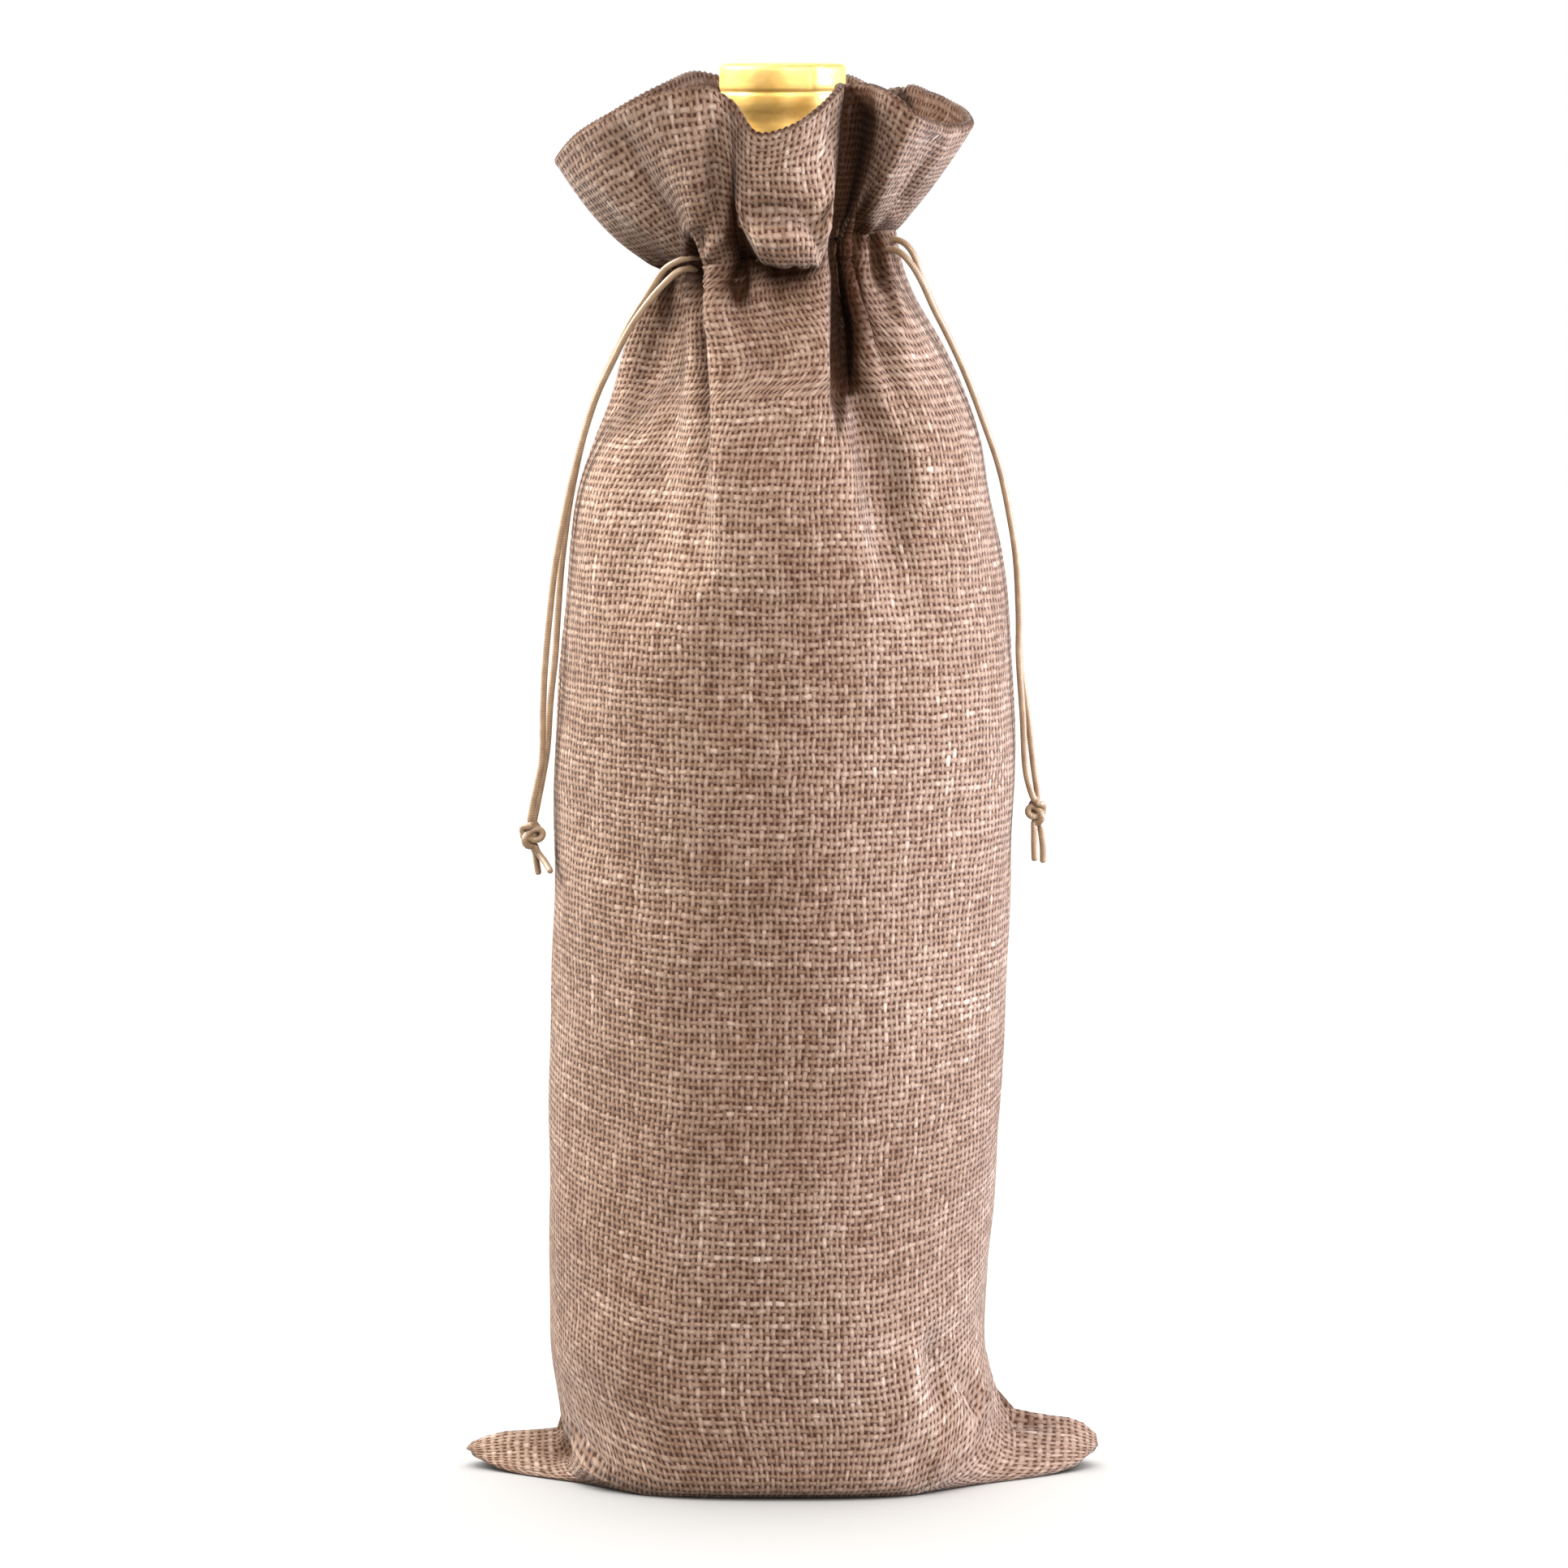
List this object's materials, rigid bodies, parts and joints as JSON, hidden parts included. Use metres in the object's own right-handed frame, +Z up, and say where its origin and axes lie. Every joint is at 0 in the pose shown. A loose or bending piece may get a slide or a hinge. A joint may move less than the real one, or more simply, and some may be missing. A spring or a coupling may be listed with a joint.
{
  "type": "burlap bottle sack with bottle",
  "caption": "Burlap sack standing over a bottle, drawn in at the neck by knotted twisted cords, its frilled heading open round the foil-covered mouth.",
  "frame": {"origin": "middle of the underside of the sack, on the surface it stands on", "axes": "+Z up along the bottle; -Y is the front, towards the camera; +X is the camera's right"},
  "size_m": [0.1427, 0.0792, 0.3179],
  "materials": {
    "burlap": "plain-woven jute in two-tone natural yarns, matt",
    "cord": "twisted satin cord, light tan",
    "bottle_glass": "smooth dark green glass",
    "foil": "gold-coloured foil, satin"
  },
  "bodies": {
    "root": {"sack": "burlap", "cord_left_back": "cord", "cord_left_front": "cord", "knot_left": "cord", "tail_left_back": "cord", "tail_left_front": "cord", "cord_right_back": "cord", "cord_right_front": "cord", "knot_right": "cord", "tail_right_back": "cord", "tail_right_front": "cord", "bottle": "bottle_glass", "capsule": "foil"}
  },
  "joints": []
}
